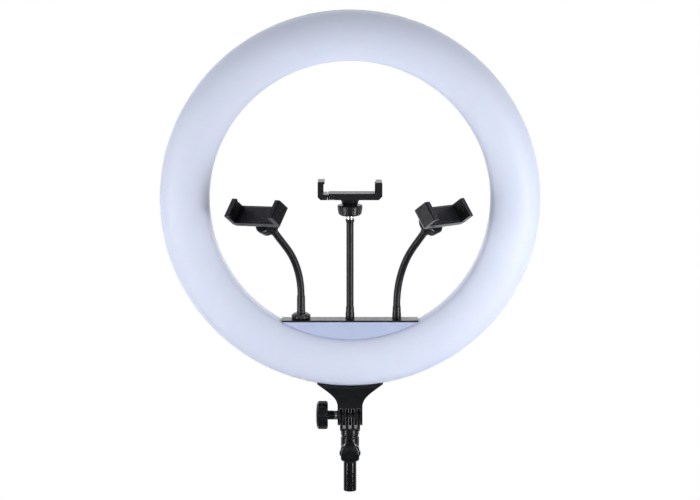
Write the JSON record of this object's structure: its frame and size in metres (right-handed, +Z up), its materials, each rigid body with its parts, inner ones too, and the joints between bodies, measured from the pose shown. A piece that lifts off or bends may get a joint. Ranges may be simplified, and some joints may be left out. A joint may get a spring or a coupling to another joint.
{
  "type": "ring light",
  "caption": "Round ring light head with a milky front, a shelf of gooseneck phone clamps across the opening, and a tilting neck on a stand tube.",
  "frame": {"origin": "centre of the stand tube's square lower end", "axes": "+Z up along the stand tube, the light shines along -Y, +X to the viewer's right when facing the light"},
  "size_m": [0.4571, 0.1332, 0.5898],
  "materials": {
    "tube_black": "gloss black stove enamel on steel tube",
    "cast_black": "satin black powder coat",
    "plastic_black": "satin black moulded nylon, fine grain",
    "knob_black": "semi-gloss black moulded plastic",
    "housing_black": "matt black moulded ABS, spark-eroded texture",
    "diffuser_milk": "milky translucent acrylic, faint blue-white",
    "panel_white": "white moulded ABS, satin",
    "neck_rubber": "glossy black soft sleeve over the flexible neck",
    "pad_rubber": "black soft pad",
    "bright_metal": "bright nickel plate",
    "zinc_steel": "zinc plated steel",
    "screw_black": "black oxide steel",
    "brass": "turned brass",
    "pcb_white": "white solder mask",
    "pcb_green": "green solder mask",
    "reflector_white": "white moulded reflector",
    "led_warm": "amber phosphor",
    "led_cool": "pale yellow phosphor",
    "socket_metal": "bright tinned shell"
  },
  "bodies": {
    "mast": {"stand_tube": "tube_black"},
    "adapter": {"adapter_sleeve": "cast_black"},
    "lock": {"lock_knob": "knob_black", "lock_screw": "zinc_steel"},
    "head": {"neck_bracket": "cast_black", "neck_screws": "screw_black", "tilt_insert": "brass", "rear_housing": "housing_black", "diffuser": "diffuser_milk", "reflector_rims": "reflector_white", "led_board": "pcb_white", "leds_warm": "led_warm", "leds_cool": "led_cool", "housing_screws": "screw_black", "control_cover": "housing_black", "driver_board": "pcb_green", "dial_pots": "plastic_black", "switch_case": "plastic_black", "dc_jack": "plastic_black", "usb_port": "socket_metal", "shelf_body": "plastic_black", "shelf_front_panel": "panel_white", "shelf_nuts": "zinc_steel"},
    "tilt_lock": {"tilt_knob": "knob_black", "tilt_bolt": "zinc_steel", "tilt_washer": "bright_metal"},
    "brightness": {"brightness_dial": "knob_black"},
    "colour": {"colour_dial": "knob_black"},
    "rocker": {"power_switch": "knob_black"},
    "lock_nut": {"left_lock_nut": "knob_black"},
    "left_base": {"left_base_ferrule": "cast_black", "left_neck_lower": "neck_rubber"},
    "left_arm": {"left_neck_upper": "neck_rubber", "left_top_ferrule": "cast_black", "left_ball_stud": "bright_metal"},
    "left_collar": {"left_ball_collar": "plastic_black"},
    "left_clamp": {"left_holder_body": "plastic_black", "left_body_pads": "pad_rubber"},
    "left_jaw": {"left_holder_slider": "plastic_black", "left_slider_pad": "pad_rubber"},
    "centre_base": {"centre_base_ferrule": "cast_black", "centre_neck_lower": "neck_rubber"},
    "centre_arm": {"centre_neck_upper": "neck_rubber", "centre_top_ferrule": "cast_black", "centre_ball_stud": "bright_metal"},
    "centre_collar": {"centre_ball_collar": "plastic_black"},
    "centre_clamp": {"centre_holder_body": "plastic_black", "centre_body_pads": "pad_rubber"},
    "centre_jaw": {"centre_holder_slider": "plastic_black", "centre_slider_pad": "pad_rubber"},
    "right_base": {"right_base_ferrule": "cast_black", "right_neck_lower": "neck_rubber"},
    "right_arm": {"right_neck_upper": "neck_rubber", "right_top_ferrule": "cast_black", "right_ball_stud": "bright_metal"},
    "right_collar": {"right_ball_collar": "plastic_black"},
    "right_clamp": {"right_holder_body": "plastic_black", "right_body_pads": "pad_rubber"},
    "right_jaw": {"right_holder_slider": "plastic_black", "right_slider_pad": "pad_rubber"}
  },
  "joints": [
    {"name": "pan", "type": "hinge", "parent": "mast", "child": "adapter", "pos_m": [0, 0, 0.0542], "axis": [0, 0, 1], "continuous": true},
    {"name": "lock_turn", "type": "hinge", "parent": "adapter", "child": "lock", "pos_m": [0, -0.0142, 0.0542], "axis": [0, -1, 0], "range_deg": [-180, 180]},
    {"name": "head_tilt", "type": "hinge", "parent": "adapter", "child": "head", "pos_m": [0, 0, 0.0948], "axis": [1, 0, 0], "range_deg": [-85, 85]},
    {"name": "tilt_lock_turn", "type": "hinge", "parent": "head", "child": "tilt_lock", "pos_m": [-0.03, 0, 0.0948], "axis": [-1, 0, 0], "range_deg": [-180, 180]},
    {"name": "brightness_turn", "type": "hinge", "parent": "head", "child": "brightness", "pos_m": [0.03, 0.035, 0.173], "axis": [0, -1, 0], "range_deg": [-140, 140]},
    {"name": "colour_turn", "type": "hinge", "parent": "head", "child": "colour", "pos_m": [-0.03, 0.035, 0.173], "axis": [0, -1, 0], "range_deg": [-140, 140]},
    {"name": "power_rock", "type": "hinge", "parent": "head", "child": "rocker", "pos_m": [0, 0.033, 0.173], "axis": [1, 0, 0], "range_deg": [0, 12]},
    {"name": "left_nut_turn", "type": "hinge", "parent": "head", "child": "lock_nut", "pos_m": [-0.0593, 0, 0.219], "axis": [0, 0, 1], "range_deg": [-180, 180]},
    {"name": "left_swivel", "type": "hinge", "parent": "head", "child": "left_base", "pos_m": [-0.0593, 0, 0.216], "axis": [0, 0, 1], "range_deg": [-20, 25]},
    {"name": "left_bend", "type": "hinge", "parent": "left_base", "child": "left_arm", "pos_m": [-0.06323, -0.00388, 0.27603], "axis": [0.7022, -0.712, 0], "range_deg": [-28, 25]},
    {"name": "left_ball_tilt", "type": "hinge", "parent": "left_arm", "child": "left_collar", "pos_m": [-0.09766, -0.03783, 0.33977], "axis": [0.7554, -0.6494, 0.0881], "range_deg": [-17, 17]},
    {"name": "left_clamp_turn", "type": "hinge", "parent": "left_collar", "child": "left_clamp", "pos_m": [-0.09766, -0.03783, 0.33977], "axis": [-0.5452, -0.5482, 0.6342], "range_deg": [-90, 90]},
    {"name": "left_jaw_slide", "type": "slide", "parent": "left_clamp", "child": "left_jaw", "axis": [-0.7554, 0.6494, -0.0881], "range_m": [0, 0.022], "stiffness_N_per_m": 120},
    {"name": "centre_swivel", "type": "hinge", "parent": "head", "child": "centre_base", "pos_m": [0, 0, 0.216], "axis": [0, 0, 1], "range_deg": [-45, 45]},
    {"name": "centre_bend", "type": "hinge", "parent": "centre_base", "child": "centre_arm", "pos_m": [0, 0, 0.2802], "axis": [-1, 0, 0], "range_deg": [-35, 35]},
    {"name": "centre_ball_tilt", "type": "hinge", "parent": "centre_arm", "child": "centre_collar", "pos_m": [0, 0, 0.3511], "axis": [1, 0, 0], "range_deg": [-17, 17]},
    {"name": "centre_clamp_turn", "type": "hinge", "parent": "centre_collar", "child": "centre_clamp", "pos_m": [0, 0, 0.3511], "axis": [0, 0, 1], "range_deg": [-90, 90]},
    {"name": "centre_jaw_slide", "type": "slide", "parent": "centre_clamp", "child": "centre_jaw", "axis": [-1, 0, 0], "range_m": [0, 0.022], "stiffness_N_per_m": 120},
    {"name": "right_swivel", "type": "hinge", "parent": "head", "child": "right_base", "pos_m": [0.0566, 0, 0.216], "axis": [0, 0, -1], "range_deg": [-20, 25]},
    {"name": "right_bend", "type": "hinge", "parent": "right_base", "child": "right_arm", "pos_m": [0.06173, -0.00492, 0.27232], "axis": [0.6921, 0.7218, 0], "range_deg": [-28, 25]},
    {"name": "right_ball_tilt", "type": "hinge", "parent": "right_arm", "child": "right_collar", "pos_m": [0.09616, -0.03794, 0.33979], "axis": [0.6401, 0.7661, -0.058], "range_deg": [-17, 12]},
    {"name": "right_clamp_turn", "type": "hinge", "parent": "right_collar", "child": "right_clamp", "pos_m": [0.09616, -0.03794, 0.33979], "axis": [0.6341, -0.484, 0.6031], "range_deg": [-90, 90]},
    {"name": "right_jaw_slide", "type": "slide", "parent": "right_clamp", "child": "right_jaw", "axis": [-0.6401, -0.7661, 0.058], "range_m": [0, 0.022], "stiffness_N_per_m": 120}
  ]
}
